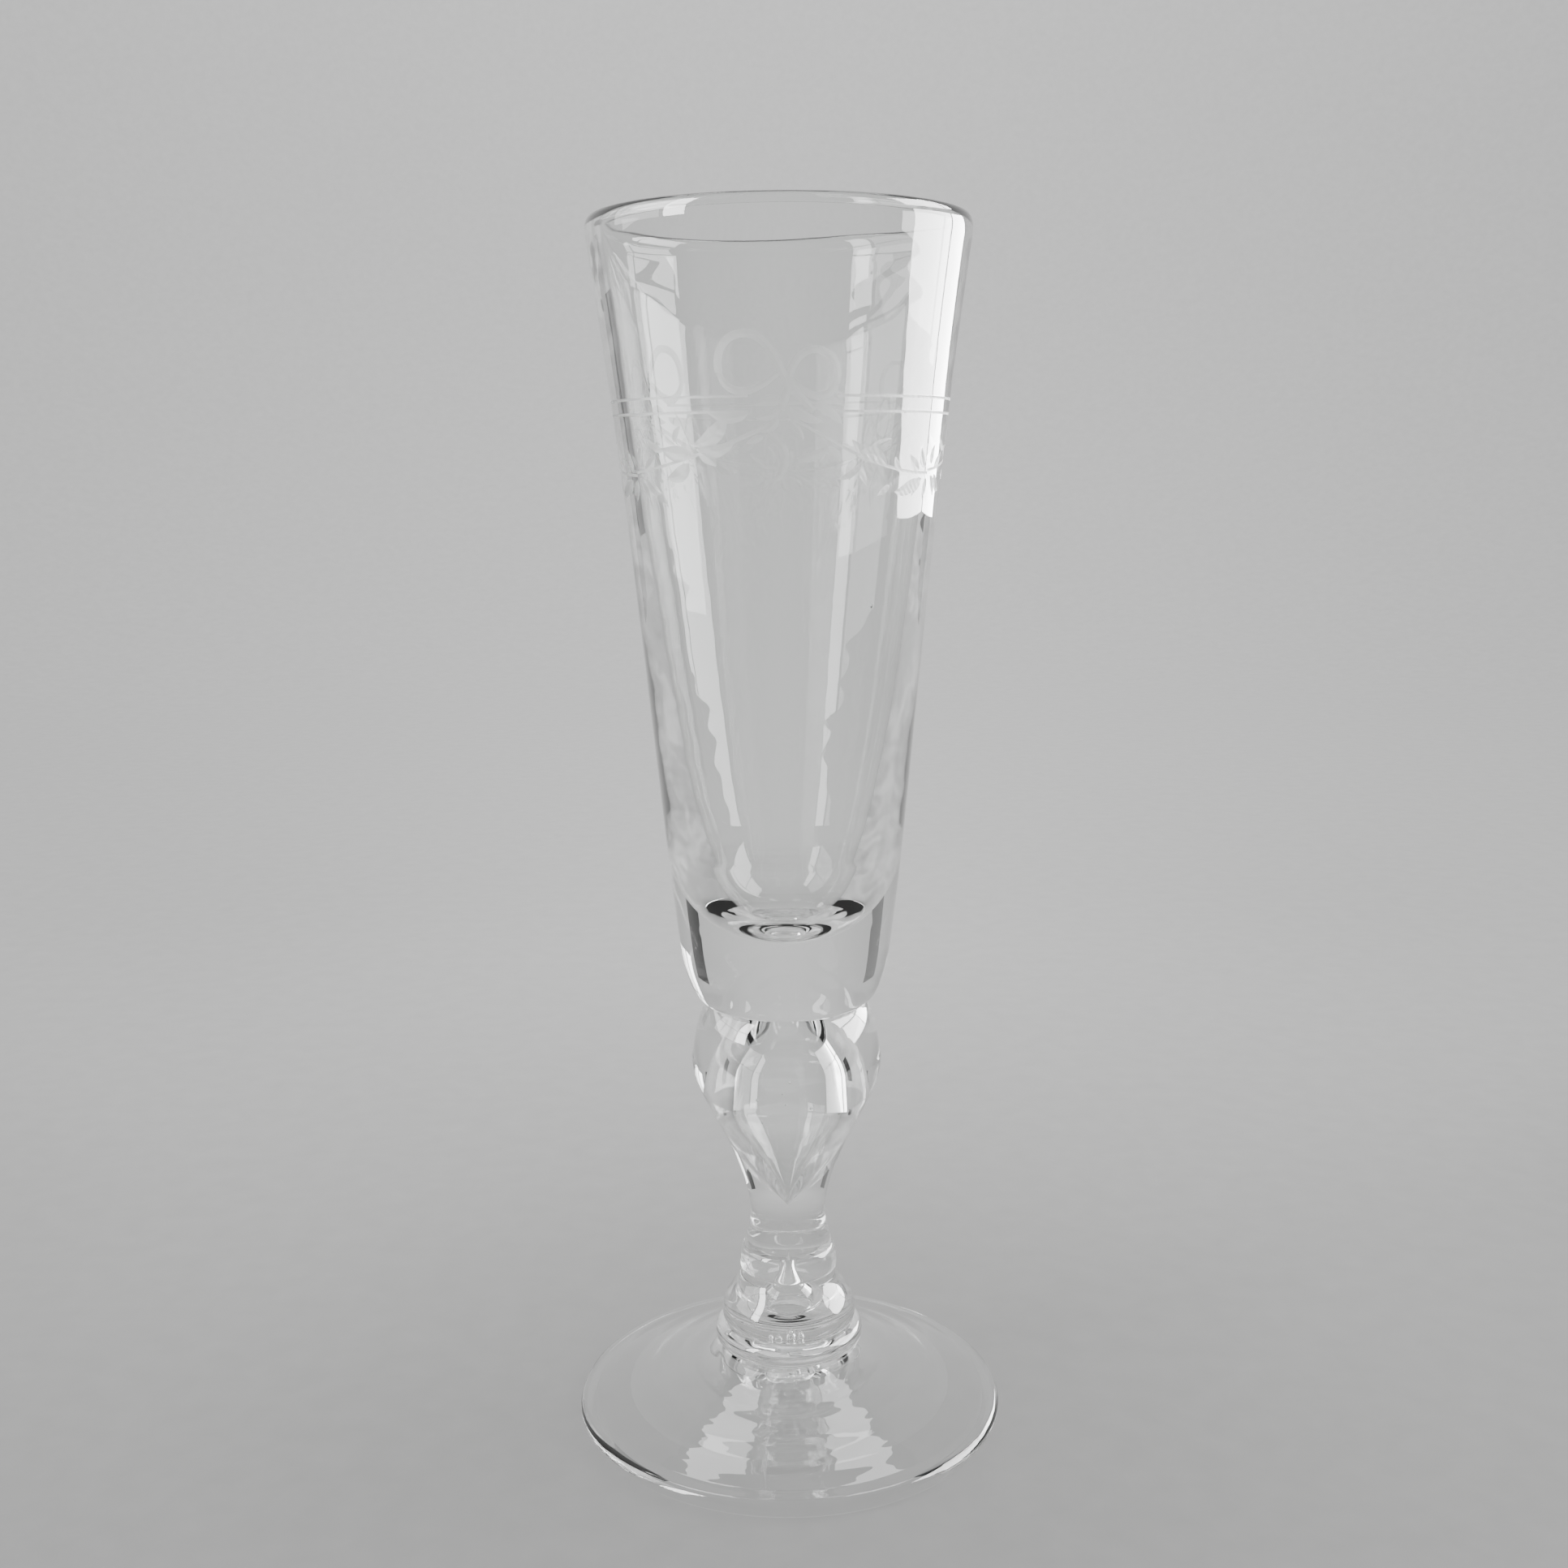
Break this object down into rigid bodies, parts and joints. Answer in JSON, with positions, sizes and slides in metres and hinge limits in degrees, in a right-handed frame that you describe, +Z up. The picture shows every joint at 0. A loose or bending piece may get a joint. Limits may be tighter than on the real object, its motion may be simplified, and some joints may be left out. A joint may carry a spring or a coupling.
{
  "type": "champagne flute",
  "caption": "Tall conical champagne flute in clear glass, with a thick-based bowl, engraved ring lines, a shouldered baluster stem with air tears, a base knop and a conical foot.",
  "frame": {"origin": "centre of the circle that the foot stands on", "axes": "+Z up along the axis of the glass; the glass is round, so +X and +Y are free, and -Y is the front with the engraved bow"},
  "size_m": [0.0694, 0.0694, 0.19],
  "materials": {
    "bowl_glass": "clear, fire polished, with a faint grey-green tint and fine ripples",
    "stem_glass": "clear, fire polished, with a faint grey-green tint",
    "foot_glass": "clear, fire polished, with fine concentric tooling ripples"
  },
  "bodies": {
    "root": {"bowl": "bowl_glass", "stem": "stem_glass", "base_knop": "stem_glass", "merese": "stem_glass", "foot": "foot_glass"}
  },
  "joints": []
}
